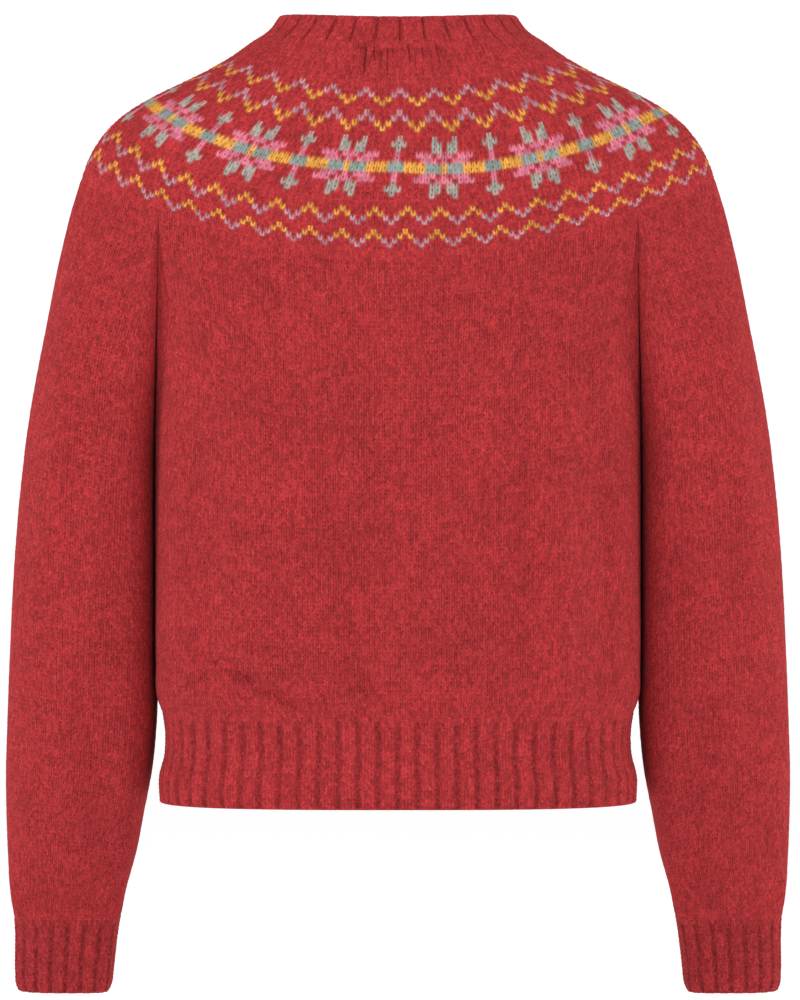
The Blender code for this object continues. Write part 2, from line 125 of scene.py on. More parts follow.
def outward(grid, closed=True):
    """Outward normals of a grid whose rows run down."""
    if closed:
        across = np.roll(grid, -1, axis=1) - np.roll(grid, 1, axis=1)
    else:
        across = np.gradient(grid, axis=1)
    return unit(np.cross(np.gradient(grid, axis=0), across))


# A plain stitch is a V of two legs. Its four columns are the valley beside the wale, a leg, the dip
# between the legs and the other leg, and each round of stitches hangs into the one below by its dip.


def knitted(across, rows, per_row, dip):
    """Rounds of a grid of stitches, and the place of each of its points in rounds from the top."""
    down = np.arange(per_row * rows + 1) / per_row
    hang = 1 - np.abs(2 * np.mod(across, 1) - 1)
    ends = np.minimum(np.minimum(1, 2 * down), (rows - down) / 1.5)
    return down, down[:, None] + dip * np.maximum(ends, 0)[:, None] * hang[None, :]


def stitch_relief(across, down, wale, crease):
    """Height of each point of a grid of plain stitches above the cloth's middle."""
    legs = np.array(column_heights)[np.round(across * 4).astype(int) % 4]
    swell = -np.cos(2 * math.pi * down)
    height = wale * legs[None, :] + crease * swell[:, None]
    height[[0, -1]] = 0.0
    return height


def hand_uneven(height, amount):
    """The same heights with each point a little off, as spun yarn is, apart from the two edges."""
    off = np.random.default_rng(height.size).normal(0.0, amount, height.shape)
    off[[0, -1]] = 0.0
    return height + np.clip(off, -2 * amount, 2 * amount)


def inner_rounds(down):
    """Places for the material that keep the painted shade of a round's crease off the piece's edges."""
    return np.clip(down, down[0] + edge_round, down[-1] - edge_round)


def new_cloth():
    return {"points": [], "count": 0, "faces": [], "stitch": [], "yarn": []}


def lay_points(cloth, points):
    """Adds a grid of points and returns their numbers in the same grid."""
    shape = points.shape[:-1]
    numbers = np.arange(cloth["count"], cloth["count"] + int(np.prod(shape))).reshape(shape)
    cloth["points"].append(points.reshape(-1, 3))
    cloth["count"] += numbers.size
    return numbers


def lay_faces(cloth, faces, stitch, yarn):
    cloth["faces"].append(faces)
    cloth["stitch"].append(stitch)
    cloth["yarn"].append(yarn)


def lay_stitches(cloth, numbers, across, down, yarn, facing_out=True):
    """Faces of a grid. Across and down are the places of its columns and rows, counted in stitches."""
    wraps = len(across) == numbers.shape[1] + 1
    if wraps:
        numbers = np.hstack([numbers, numbers[:, :1]])
    a, b = numbers[:-1, :-1], numbers[:-1, 1:]
    c, d = numbers[1:, 1:], numbers[1:, :-1]
    corners = (a, d, c, b) if facing_out else (a, b, c, d)
    left, top = np.meshgrid(across[:-1], down[:-1])
    right, foot = np.meshgrid(across[1:], down[1:])
    places = ((left, top), (left, foot), (right, foot), (right, top))
    if not facing_out:
        places = (places[0], places[3], places[2], places[1])
    faces = np.stack([corner.ravel() for corner in corners], axis=1)
    stitch = np.stack([np.stack([u.ravel(), v.ravel()], axis=1) for u, v in places], axis=1)
    own = np.broadcast_to(yarn, a.shape + (3,))
    matted = np.stack([
        (own + np.roll(own, (up, 0), (0, 1)) + np.roll(own, (0, aside), (0, 1))
         + np.roll(own, (up, aside), (0, 1))) / 4
        for up, aside in ((1, 1), (-1, 1), (-1, -1), (1, -1))
    ], axis=2)
    matted[[0, -1]] = own[[0, -1], :, None]
    soft = own[:, :, None] * (1 - yarn_matting) + matted * yarn_matting
    if not facing_out:
        soft = soft[:, :, [0, 3, 2, 1]]
    lay_faces(cloth, faces, stitch, soft.reshape(-1, 4, 3))


def join_edges(cloth, upper, upper_place, lower, lower_place, yarn, closed=True):
    """Triangles between two lines of points, matched by their places along the edge."""
    if closed:
        upper, lower = np.append(upper, upper[0]), np.append(lower, lower[0])
        upper_place = np.append(upper_place, upper_place[0] + 1)
        lower_place = np.append(lower_place, lower_place[0] + 1)
    i = j = 0
    faces = []
    while i < len(upper) - 1 or j < len(lower) - 1:
        more_above = i < len(upper) - 1
        if j == len(lower) - 1 or (more_above and upper_place[i + 1] <= lower_place[j + 1]):
            faces.append((upper[i], lower[j], upper[i + 1]))
            i += 1
        else:
            faces.append((upper[i], lower[j], lower[j + 1]))
            j += 1
    faces = np.array(faces)
    plain_place = np.tile([leg_middle, edge_round], faces.shape + (1,))
    lay_faces(cloth, faces, plain_place, np.tile(yarn, faces.shape + (1,)))


def made_cloth(name, cloth):
    """The piece's mesh object, with its stitches' places and its yarns kept on the corners."""
    points = np.vstack(cloth["points"])
    faces = [face for group in cloth["faces"] for face in group.tolist()]
    mesh = bpy.data.meshes.new(name)
    mesh.from_pydata(points.tolist(), [], faces)
    stitch = np.vstack([group.reshape(-1, 2) for group in cloth["stitch"]])
    yarn = np.vstack([group.reshape(-1, 3) for group in cloth["yarn"]])
    place = mesh.attributes.new("stitch", "FLOAT_VECTOR", "CORNER")
    place.data.foreach_set("vector", np.c_[stitch, np.zeros(len(stitch))].astype(np.float32).ravel())
    colour = mesh.color_attributes.new("yarn", "FLOAT_COLOR", "CORNER")
    colour.data.foreach_set("color", np.c_[yarn, np.ones(len(yarn))].astype(np.float32).ravel())
    mesh.shade_smooth()
    mesh.set_sharp_from_angle(angle=crease_angle)
    piece = bpy.data.objects.new(name, mesh)
    bpy.context.scene.collection.objects.link(piece)
    return piece


red_yarn = np.array([0.440, 0.033, 0.037])
yarns = {
    ".": red_yarn,
    "Y": np.array([0.88, 0.46, 0.070]),
    "P": np.array([0.78, 0.23, 0.33]),
    "G": np.array([0.37, 0.45, 0.39]),
    "T": np.array([0.22, 0.42, 0.37]),
    "L": np.array([0.53, 0.34, 0.39]),
}
zigzag_chart = (
    "L.....",
    ".L...L",
    "..Y.Y.",
    "...Y..",
)
low_zigzag_chart = (
    "Y.....",
    ".Y...Y",
    "..L.L.",
    "...L..",
)
half_star_chart = (
    "..G......G......G.",
    ".GG.....GGG.....GG",
    ".GG......G......GG",
    "PP.PPP...P...PPP.P",
    "P.PPP....P....PPP.",
    "YTTTYYYYTTTYYYYTTT",
)
star_chart = half_star_chart + half_star_chart[::-1]

# Bands between the rounds of decreases, in rounds down the centre of the back. The lead is how far
# the chart's middle column stands to +X of the centre at a band's top and foot. The stretch is how
# much wider a band's stitches are at the back than all round it, worn over the shoulder blades.
yoke_rounds = 45
short_rounds, short_rounds_end = 4.5, 0.22
yoke_band_columns = ("top", "foot", "rounds", "stitches", "charts", "middle", "lead", "foot_lead", "stretch")
yoke_bands = (
    (0.0, 8.65, 7, 170, (), 0, 0.0000, 0.0010, 0.0),
    (8.65, 14.15, 6, 192, ((1, zigzag_chart),), 0, 0.0014, 0.0014, 0.0),
    (14.15, 19.6, 5, 216, ((0, zigzag_chart),), 0, 0.0012, 0.0012, 0.0),
    (19.6, 33.3, 13, 270, ((0, star_chart),), 9, 0.0018, -0.0052, 0.035),
    (33.3, 39.0, 6, 288, ((1, low_zigzag_chart),), 0, 0.0066, 0.0066, 0.0),
    (39.0, 43.7, 5, 306, ((0, low_zigzag_chart),), 0, 0.0050, 0.0050, 0.0),
)
plain_foot_band = (43.7, 45.0, 1, 0, (), 0, 0.0, 0.0, 0.0)
notch = 0.45
notch_middle, notch_reach = 0.375, 0.2
foot_stitches = {"back": 94, "over_arm": 57, "front": 98}
underarm_stitches = {"body": 28, "sleeve": 42}
yoke_dip = 0.42
yoke_wale, yoke_crease, yarn_uneven = 0.00026, 0.00012, 0.00009
decrease_gap = 0.06


# The knitting is worn a little askew: over the arms its rounds sit lower, most of all on the right.
# One table has the drop in rounds by level, and the other how much of it is left beside the centre.
drop_by_level = (
    (0.0, 0.0, 0.0),
    (8.65, 0.5, 0.9),
    (14.15, 1.3, 1.8),
    (19.6, 2.0, 2.8),
    (26.0, 1.9, 3.6),
    (33.3, 1.8, 3.1),
    (39.0, 1.7, 2.2),
    (43.7, 0.7, 0.8),
    (45.0, 0.0, 0.0),
)
drop_by_share = (
    (0.00, 0.0, 0.0),
    (0.05, 0.3, 0.4),
    (0.10, 0.8, 0.7),
    (0.15, 1.0, 1.0),
    (0.19, 0.5, 1.0),
    (0.23, -0.5, 1.0),
    (0.28, -0.7, 0.7),
    (0.34, 0.0, 0.3),
    (0.42, 0.0, 0.0),
)


def dropped(rounds, shares):
    """Places in rounds, lowered over the left and the right arm."""
    beside = np.mod(shares + 0.5, 1.0) - 0.5
    level, *drops = np.array(drop_by_level).T
    place, *strengths = np.array(drop_by_share).T
    left, right = (np.interp(rounds, level, drop) * np.interp(np.abs(beside), place, strength)
                   for drop, strength in zip(drops, strengths))
    return rounds + np.where(beside > 0, right, left)


def rounds_to_share(rounds, shares):
    """Share of the way down for a place in rounds. Short rounds at the back raise its neck."""
    rounds = dropped(rounds, shares)
    beside = np.abs(np.mod(shares + 0.5, 1.0) - 0.5)
    missing = short_rounds * smooth(beside / short_rounds_end)
    plain = yoke_bands[0][1]
    first = (plain - missing) / (yoke_rounds - missing)
    return np.where(rounds < plain, first * rounds / plain, (rounds - missing) / (yoke_rounds - missing))


def armhole_shares():
    """Shares of the yoke's foot where the +X armhole starts, behind and in front of the arm."""
    foot = yoke_loop(1.0)
    shares = np.linspace(0, 0.5, loop_points)
    x = at_shares(foot, shares)[:, 0]
    widest = int(np.argmax(x))
    behind = np.interp(armhole_x, x[: widest + 1], shares[: widest + 1])
    ahead = np.interp(armhole_x, x[widest:][::-1], shares[widest:][::-1])
    return behind, ahead


armhole_x = 0.1641
behind_arm, ahead_of_arm = armhole_shares()
yoke_steps = np.linspace(0, 1, 181)
yoke_loops = [yoke_loop(t) for t in yoke_steps]
yoke_girths = np.array([loop_length(loop) for loop in yoke_loops])


def yoke_surface(shares, leads=(0.0, 0.0), span=(0.0, 1.0)):
    """Loops of the yoke at the shares, which lean from the first lead to the last over the span."""
    lead = np.interp(yoke_steps, span, leads) / yoke_girths
    return np.array([at_shares(loop, shares + step) for loop, step in zip(yoke_loops, lead)])


# The neckband's grooves run on into the yoke's first rounds and fan out. Below the back's ribs its
# short rounds draw the cloth into narrow tucks, joined in pairs by a small arch under each rib.
neck_ribs = 34
neck_rib_shift = 0.0028
tuck_columns = ("place", "depth", "rounds")
neck_tucks = (
    (-0.0295, 0.5, 3.0),
    (-0.0212, 1.0, 7.5),
    (-0.0164, 0.5, 4.5),
    (-0.0112, 0.9, 7.0),
    (-0.0068, 0.7, 7.5),
    (-0.0024, 0.8, 4.5),
    (0.0024, 0.6, 7.5),
    (0.0071, 0.9, 5.0),
    (0.0119, 0.7, 6.0),
    (0.0159, 0.8, 4.0),
    (0.0207, 0.7, 7.5),
    (0.0255, 1.0, 5.5),
    (0.0299, 0.6, 3.5),
)
neck_arches = ((-0.0295, -0.0212), (-0.0112, -0.0024), (0.0071, 0.0159), (0.0255, 0.0299))
tuck_depth, tuck_width, arch_depth = 0.0015, 0.0008, 0.0013
arch_row = 0.5
groove_shade = 0.42
run_on_depth, run_on_rounds, run_on_width = 0.0005, 4.5, 0.06


def neck_gathers(shares, rounds, down):
    """Heights of the grooves, tucks and arches at the shares, for a grid of places in rounds."""
    place = ((np.mod(shares + 0.5, 1.0) - 0.5) * yoke_girths[0])[None, :]
    in_rib = np.mod((shares - neck_rib_shift) * neck_ribs, 1.0)[None, :]
    groove = np.exp(-((np.minimum(in_rib, 1 - in_rib) / run_on_width) ** 2))
    raised = -run_on_depth * groove * smooth(1 - rounds / run_on_rounds)
    for row in neck_tucks:
        tuck = dict(zip(tuck_columns, row))
        line = place[0, np.argmin(np.abs(place - tuck["place"]))]
        narrow = np.exp(-(((place - line) / tuck_width) ** 2))
        long = smooth((tuck["rounds"] - rounds) / 2) * smooth((rounds - 0.2) / 0.6)
        raised = raised - tuck_depth * tuck["depth"] * narrow * long
    on_arch = (down == arch_row)[:, None]
    for left, right in neck_arches:
        raised = raised - arch_depth * on_arch * (place > left) * (place < right)
    return raised


def in_shadow(depth):
    """How much of a yarn's colour is left in a groove, given as a negative share of a deep one."""
    return (1 - groove_shade * np.clip(-depth, 0, 1))[..., None]


yoke = new_cloth()
previous = None
for row in yoke_bands + (plain_foot_band,):
    band = dict(zip(yoke_band_columns, row))
    if band["stitches"]:
        girth = np.interp(band["top"] / yoke_rounds, yoke_steps, yoke_girths)
        first = round(band["middle"] + 0.5 - band["lead"] / girth * band["stitches"])
        across = first + np.arange(4 * band["stitches"] + 1) / 4
        shares = (across - band["middle"] - 0.5) / band["stitches"]
        shares = shares + band["stretch"] * np.sin(2 * math.pi * shares) / (2 * math.pi)
    else:
        counts = (foot_stitches["back"] // 2, foot_stitches["over_arm"], foot_stitches["front"] // 2)
        corners = np.cumsum((0,) + counts)
        half = np.interp(np.arange(4 * corners[-1] + 1) / 4, corners, (0, behind_arm, ahead_of_arm, 0.5))
        shares = np.concatenate([half, 1 - half[-2::-1]])
        across = np.arange(len(shares)) / 4
    down, placed = knitted(across, band["rounds"], 2, yoke_dip)
    ring_across, ring_shares = across[:-1], shares[:-1]
    top = band["top"] + (decrease_gap if band["top"] > 0 else 0)
    foot = band["foot"] - (decrease_gap if band["foot"] < yoke_rounds else 0)
    rounds = top + (foot - top) * placed[:, :-1] / band["rounds"]
    down_share = rounds_to_share(rounds, ring_shares[None, :])
    span = (band["top"] / yoke_rounds, band["foot"] / yoke_rounds)
    loops = yoke_surface(ring_shares, (band["lead"], band["foot_lead"]), span)
    cloth_points = between_loops(loops, down_share)
    height = hand_uneven(stitch_relief(ring_across, down, yoke_wale, yoke_crease), yarn_uneven)
    gathers = neck_gathers(ring_shares, rounds, down) if band["top"] == 0 else np.zeros(height.shape)
    height = height + gathers
    cloth_points = cloth_points + outward(cloth_points) * height[..., None]
    numbers = lay_points(yoke, cloth_points)
    stitch_yarn = np.tile(red_yarn, (len(down) - 1, len(ring_across), 1))
    for start, chart in band["charts"]:
        for step, line in enumerate(chart):
            stitches = (np.floor(ring_across).astype(int)) % len(line)
            colours = np.array([yarns[line[k]] for k in stitches])
            stitch_yarn[2 * (start + step): 2 * (start + step) + 2] = colours
    between_legs = np.abs(np.mod(ring_across, 1) - notch_middle) < notch_reach
    stitch_yarn[0, between_legs] += notch * (red_yarn - stitch_yarn[0, between_legs])
    stitch_yarn = stitch_yarn * in_shadow(gathers[:-1] / tuck_depth)
    lay_stitches(yoke, numbers, across, inner_rounds(down), stitch_yarn)
    if previous is not None:
        join_edges(yoke, previous[0], previous[1], numbers[0], ring_shares, red_yarn)
    else:
        yoke_top = (numbers[0], ring_shares)
    previous = (numbers[-1], ring_shares)

lining_columns, lining_rows = 240, 19
lining_shares = np.arange(lining_columns) / lining_columns
lining_down = np.linspace(0, 1, lining_rows)[:, None] + 0 * lining_shares[None, :]
lining_points = between_loops(yoke_surface(lining_shares), lining_down)
lining_points = lining_points - outward(lining_points) * cloth_wall
lining = lay_points(yoke, lining_points)
lay_stitches(yoke, lining, np.arange(lining_columns + 1), np.arange(lining_rows), red_yarn, facing_out=False)
join_edges(yoke, lining[0], lining_shares, yoke_top[0], yoke_top[1], red_yarn)
join_edges(yoke, previous[0], previous[1], lining[-1], lining_shares, red_yarn)


def math_node(tree, operation, *values):
    node = tree.nodes.new("ShaderNodeMath")
    node.operation = operation
    for socket, value in zip(node.inputs, values):
        if isinstance(value, bpy.types.NodeSocket):
            tree.links.new(value, socket)
        else:
            socket.default_value = value
    return node.outputs[0]


def vector_node(tree, operation, vector, second):
    node = tree.nodes.new("ShaderNodeVectorMath")
    node.operation = operation
    tree.links.new(vector, node.inputs[0])
    if isinstance(second, bpy.types.NodeSocket):
        tree.links.new(second, node.inputs["Scale"])
    elif second is not None:
        node.inputs[1].default_value = second
    return node.outputs[0]


def mixed(tree, blend, share, first, second):
    node = tree.nodes.new("ShaderNodeMix")
    node.data_type = "RGBA"
    node.blend_type = blend
    tree.links.new(share, node.inputs["Factor"])
    tree.links.new(first, node.inputs["A"])
    if isinstance(second, bpy.types.NodeSocket):
        tree.links.new(second, node.inputs["B"])
    else:
        node.inputs["B"].default_value = second
    return node.outputs["Result"]


hair_colour = (0.30, 0.075, 0.080, 1.0)
sheen_tint = (1.0, 0.22, 0.22, 1.0)


def lambswool_group():
    """Brushed lambswool: soft V stitches with painted shade in the valleys beside the wales and in a pit
    below each, uneven yarn and fine pale hairs.
    """
    tree = bpy.data.node_groups.new("lambswool", "ShaderNodeTree")
    sockets = (("Yarn", "INPUT", "NodeSocketColor"), ("Ground", "INPUT", "NodeSocketColor"),
               ("Stitch", "INPUT", "NodeSocketVector"), ("Valley", "INPUT", "NodeSocketFloat"),
               ("Pit", "INPUT", "NodeSocketFloat"), ("Haze", "INPUT", "NodeSocketFloat"),
               ("Colour", "OUTPUT", "NodeSocketColor"), ("Height", "OUTPUT", "NodeSocketFloat"))
    for name, side, kind in sockets:
        tree.interface.new_socket(name=name, in_out=side, socket_type=kind)
    inputs = tree.nodes.new("NodeGroupInput").outputs
    outputs = tree.nodes.new("NodeGroupOutput").inputs

    def noise(scale, detail, distortion):
        made = tree.nodes.new("ShaderNodeTexNoise")
        tree.links.new(tree.nodes.new("ShaderNodeNewGeometry").outputs["Position"], made.inputs["Vector"])
        made.inputs["Scale"].default_value = scale
        made.inputs["Detail"].default_value = detail
        made.inputs["Distortion"].default_value = distortion
        return made.outputs["Fac"]

    def stepped(value, start, end):
        made = tree.nodes.new("ShaderNodeMapRange")
        made.interpolation_type = "SMOOTHSTEP"
        tree.links.new(value, made.inputs["Value"])
        made.inputs["From Min"].default_value = start
        made.inputs["From Max"].default_value = end
        return made.outputs["Result"]

    def one_of_each(vector):
        made = tree.nodes.new("ShaderNodeTexWhiteNoise")
        tree.links.new(vector_node(tree, "FLOOR", vector, None), made.inputs["Vector"])
        return made.outputs["Value"]

    place = tree.nodes.new("ShaderNodeSeparateXYZ")
    tree.links.new(inputs["Stitch"], place.inputs[0])
    leg = math_node(tree, "FRACT", math_node(tree, "MULTIPLY", place.outputs["X"], 2.0))
    beside = math_node(tree, "ABSOLUTE", math_node(tree, "MULTIPLY_ADD", leg, 2.0, -1.0))
    across = math_node(tree, "SUBTRACT", math_node(tree, "FRACT", place.outputs["X"]), 0.5)
    along = math_node(tree, "FRACT", math_node(tree, "ADD", place.outputs["Y"], 0.40))
    along = math_node(tree, "SUBTRACT", along, 0.5)
    each_leg = one_of_each(vector_node(tree, "MULTIPLY", inputs["Stitch"], (2.0, 1.0, 1.0)))
    each_stitch = one_of_each(vector_node(tree, "ADD", inputs["Stitch"], (0.0, 0.4, 7.0)))
    slow = noise(24.0, 2.0, 0.0)
    patchy = stepped(noise(110.0, 2.0, 0.0), 0.30, 0.70)
    speckle = noise(700.0, 3.0, 0.6)
    hair = noise(430.0, 3.0, 2.4)
    hair = stepped(math_node(tree, "ABSOLUTE", math_node(tree, "SUBTRACT", hair, 0.5)), 0.030, 0.0)
    hair = math_node(tree, "MULTIPLY", hair, inputs["Haze"])

    # Painted shade: the valleys beside the wales, made patchy, and a pit below each stitch darken the yarn's
    # colour. The same sunk places also lower the bump.
    valley = math_node(tree, "MULTIPLY", math_node(tree, "POWER", beside, 2.5), patchy)
    valley = math_node(tree, "MULTIPLY", valley, inputs["Valley"])
    pit_across = math_node(tree, "POWER", math_node(tree, "MULTIPLY", across, 4.2), 2.0)
    pit_along = math_node(tree, "POWER", math_node(tree, "MULTIPLY", along, 3.4), 2.0)
    round_pit = math_node(tree, "ADD", pit_across, pit_along)
    pit = math_node(tree, "MULTIPLY", stepped(round_pit, 1.0, 0.0), inputs["Pit"])
    pit = math_node(tree, "MULTIPLY", pit, math_node(tree, "MULTIPLY_ADD", each_stitch, 0.8, 0.2))
    sunk = math_node(tree, "MINIMUM", math_node(tree, "ADD", valley, pit), 1.0)

    # The painted shade is then varied in tone at random, for each leg, by a fine speckle and by a slow
    # change.
    shade = math_node(tree, "MULTIPLY_ADD", sunk, -0.62, 1.08)
    for value, strength in ((each_leg, 0.46), (speckle, 1.60), (slow, 0.30)):
        middle = 1.0 - 0.5 * strength
        shade = math_node(tree, "MULTIPLY", shade, math_node(tree, "MULTIPLY_ADD", value, strength, middle))
    strayed = math_node(tree, "MULTIPLY_ADD", speckle, 1.9, -0.82)
    strayed = math_node(tree, "ADD", strayed, math_node(tree, "MULTIPLY", sunk, 0.60))
    strayed = math_node(tree, "MAXIMUM", math_node(tree, "MINIMUM", strayed, 0.85), 0.0)
    dyed = mixed(tree, "MIX", strayed, inputs["Yarn"], inputs["Ground"])
    dyed = vector_node(tree, "SCALE", dyed, shade)
    tree.links.new(mixed(tree, "SCREEN", hair, dyed, hair_colour), outputs["Colour"])

    rough = math_node(tree, "MULTIPLY", speckle, 1.1)
    height = math_node(tree, "SUBTRACT", rough, sunk)
    height = math_node(tree, "ADD", height, math_node(tree, "MULTIPLY", hair, 0.4))
    tree.links.new(height, outputs["Height"])
    return tree


lambswool = lambswool_group()


def wool_material(name, valley, pit, haze, depth, yarn=None):
    """Lambswool on a knitted piece. With no yarn given, each stitch has its own from the chart."""
    made = bpy.data.materials.new(name)
    made.use_nodes = True
    tree = made.node_tree
    shader = tree.nodes["Principled BSDF"]
    wool = tree.nodes.new("ShaderNodeGroup")
    wool.node_tree = lambswool
    place = tree.nodes.new("ShaderNodeAttribute")
    place.attribute_name = "stitch"
    tree.links.new(place.outputs["Vector"], wool.inputs["Stitch"])
    if yarn is None:
        chart = tree.nodes.new("ShaderNodeAttribute")
        chart.attribute_name = "yarn"
        tree.links.new(chart.outputs["Color"], wool.inputs["Yarn"])
    else:
        wool.inputs["Yarn"].default_value = (*yarn, 1.0)
    wool.inputs["Ground"].default_value = (*(red_yarn if yarn is None else yarn), 1.0)
    wool.inputs["Valley"].default_value = valley
    wool.inputs["Pit"].default_value = pit
    wool.inputs["Haze"].default_value = haze
    bump = tree.nodes.new("ShaderNodeBump")
    bump.inputs["Strength"].default_value = 1.0
    bump.inputs["Distance"].default_value = depth
    tree.links.new(wool.outputs["Height"], bump.inputs["Height"])
    tree.links.new(bump.outputs["Normal"], shader.inputs["Normal"])
    tree.links.new(wool.outputs["Colour"], shader.inputs["Base Color"])
    shader.inputs["Roughness"].default_value = 0.92
    shader.inputs["Specular IOR Level"].default_value = 0.05
    shader.inputs["Sheen Weight"].default_value = 0.30
    shader.inputs["Sheen Roughness"].default_value = 0.40
    shader.inputs["Sheen Tint"].default_value = sheen_tint
    return made


def dress(name, cloth, finish, node):
    """The finished piece on its node: it rides with the garment and is a sheet of cloth."""
    piece = made_cloth(name, cloth)
    piece.data.materials.append(finish)
    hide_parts(node)
    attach(piece, "root")
    return piece


chart_wool = wool_material("charted_lambswool", valley=0.5, pit=0.75, haze=0.6, depth=0.00030)
dress("knit_yoke", yoke, chart_wool, "yoke")

# Neckband: a short stand-up band of rib, picked up round the neck and knitted straight up. Wide
# ribs of plain stitches stand between narrow double grooves, and it leans in over the neck.

neckband_columns = ("level", "half_width", "side", "back", "back_z", "front", "front_z")
neckband_table = (
    (0.0, 0.1030, 0.0330, -0.0700, 0.0254, 0.0880, -0.0320),
    (0.5, 0.0908, 0.0412, -0.0645, 0.0360, 0.0800, -0.0205),
    (1.0, 0.0830, 0.0515, -0.0600, 0.0450, 0.0730, -0.0080),
)
neck_rounds = 8
neck_crease = 0.00005
rib_raise = 0.0013
rib_shadow = 1.00
rib_dip = 0.5
groove_from = -0.4
band_loops, band_inside_rows = 49, 7
neck_groove = ((0.0, 0.0, -0.35), (0.035, 0.33, -0.80), (0.08, 0.66, 0.05))
neck_face = tuple((0.15 + 0.70 * k / 12, 1 + k / 4, (-0.25, 0.10, -0.06, 0.10)[k % 4]) for k in range(13))
neck_rib = neck_groove + neck_face + ((0.92, 4.33, 0.05), (0.965, 4.66, -0.80))


def read(table, columns, name, level):
    """One column of a table at any level, on a smooth curve through its rows."""
    rows = np.array(sorted(table))
    x, y = rows[:, 0], rows[:, columns.index(name)]
    slopes = np.gradient(y, x)
    i = np.clip(np.searchsorted(x, level) - 1, 0, len(x) - 2)
    step = x[i + 1] - x[i]
    s = np.clip((level - x[i]) / step, 0.0, 1.0)
    start = y[i] * (1 - s) ** 2 * (1 + 2 * s) + slopes[i] * step * s * (1 - s) ** 2
    return start + y[i + 1] * s**2 * (3 - 2 * s) - slopes[i + 1] * step * s**2 * (1 - s)


def neckband_loop(level):
    width, side, back, back_z, front, front_z = (
        read(neckband_table, neckband_columns, name, level) for name in neckband_columns[1:]
    )
    angles = full_turn()
    x, y = oval(angles, width, back, front, yoke_widest_y[0], yoke_powers[0])
    end_z = np.where(np.cos(angles) > 0, back_z, front_z)
    return np.stack([x, y, side + (end_z - side) * np.cos(angles) ** 2], axis=-1)


def rib_round(ribs, rib, shift):
    """Shares, stitches and raises of the columns of a round of ribs."""
    shares = np.array([(k + share) / ribs + shift for k in range(ribs) for share, _, _ in rib])
    wide = math.ceil(rib[-1][1])
    stitches = np.array([k * wide + stitch for k in range(ribs) for _, stitch, _ in rib])
    return shares, stitches, np.array([raised for _, _, raised in rib] * ribs), wide


def rib_band(loop_at, ribs, rib, rounds, crease, closing, yarn=red_yarn, shift=0.0):
    """A band of ribs. The loops lie on the ribs' crests, and closing pulls its open edge together."""
    shares, stitches, raised, wide = rib_round(ribs, rib, shift)
    loops = np.array([at_shares(loop_at(t), shares) for t in np.linspace(0, 1, band_loops)])
    across = np.append(stitches, ribs * wide)
    down, placed = knitted(stitches, rounds, 2, rib_dip)
    points = between_loops(loops, placed / rounds)
    depth = raised[None, :] * (1 + closing(down, rounds)[:, None] * (raised < groove_from)[None, :])
    height = rib_raise * depth
    height = hand_uneven(height - crease * np.cos(2 * math.pi * down)[:, None], yarn_uneven)
    band = new_cloth()
    numbers = lay_points(band, points + outward(points) * height[..., None])
    ring_depth = 0.5 * (depth + np.roll(depth, -1, axis=1))
    lay_stitches(band, numbers, across, inner_rounds(down), yarn * in_shadow(rib_shadow * ring_depth[:-1]))
    inside_shares = np.arange(4 * ribs) / (4 * ribs) + shift
    inside_down = np.linspace(0, 1, band_inside_rows)
    inside_loops = np.array([at_shares(loop_at(t), inside_shares) for t in inside_down])
    inside = lay_points(band, inside_loops - outward(inside_loops) * (cloth_wall + rib_raise))
    lay_stitches(band, inside, np.arange(4 * ribs + 1), np.arange(band_inside_rows), yarn, facing_out=False)
    join_edges(band, inside[0], inside_shares, numbers[0], shares, yarn)
    join_edges(band, numbers[-1], shares, inside[-1], inside_shares, yarn)
    return band


def neck_closing(down, rounds):
    """The grooves are shallow at the cast-off rim and fade out into the yoke."""
    return -0.45 * smooth(1 - down) - 0.4 * smooth((down - rounds + 2) / 2)


rib_wool = wool_material("rib_lambswool_knit", valley=0.60, pit=0.45, haze=0.6, depth=0.00030)
neckband = rib_band(lambda t: neckband_loop(1 - t), neck_ribs, neck_rib, neck_rounds, neck_crease,
                    neck_closing, shift=neck_rib_shift)
dress("knit_neckband", neckband, rib_wool, "neckband")

# Body: a plain tube, knitted in the round up to the armholes and hanging from the yoke. Worn cloth
# falls in soft folds from the shoulder blades and bags over the tighter hem rib.

hem_seam_z = -0.4347
body_middle_y = 0.016
body_power = 3.0
body_fade = 0.090
body_chest_level = -0.2600
body_ease = 0.97
underarm_y, underarm_z = 0.022, -0.178
armhole_turn = 0.0055
body_rounds = 110
plain_dip = 0.62
tube_levels, body_inside_rows = 161, 23
body_columns = ("level", "half_width", "back", "front")
body_table = (
    (-0.0600, 0.1690, -0.0820, 0.1200),
    (-0.1220, 0.1696, -0.0880, 0.1270),
    (-0.1800, 0.1697, -0.0905, 0.1310),
    (-0.2600, 0.1697, -0.0925, 0.1290),
    (-0.3400, 0.1697, -0.0945, 0.1220),
    (-0.4000, 0.1695, -0.0955, 0.1160),
    (-0.4250, 0.1684, -0.0950, 0.1125),
    (hem_seam_z, 0.1650, -0.0925, 0.1090),
)
fold_columns = ("across", "lean", "top", "foot", "half_width", "lift")
fold_ease, fold_ends = 0.030, 0.75
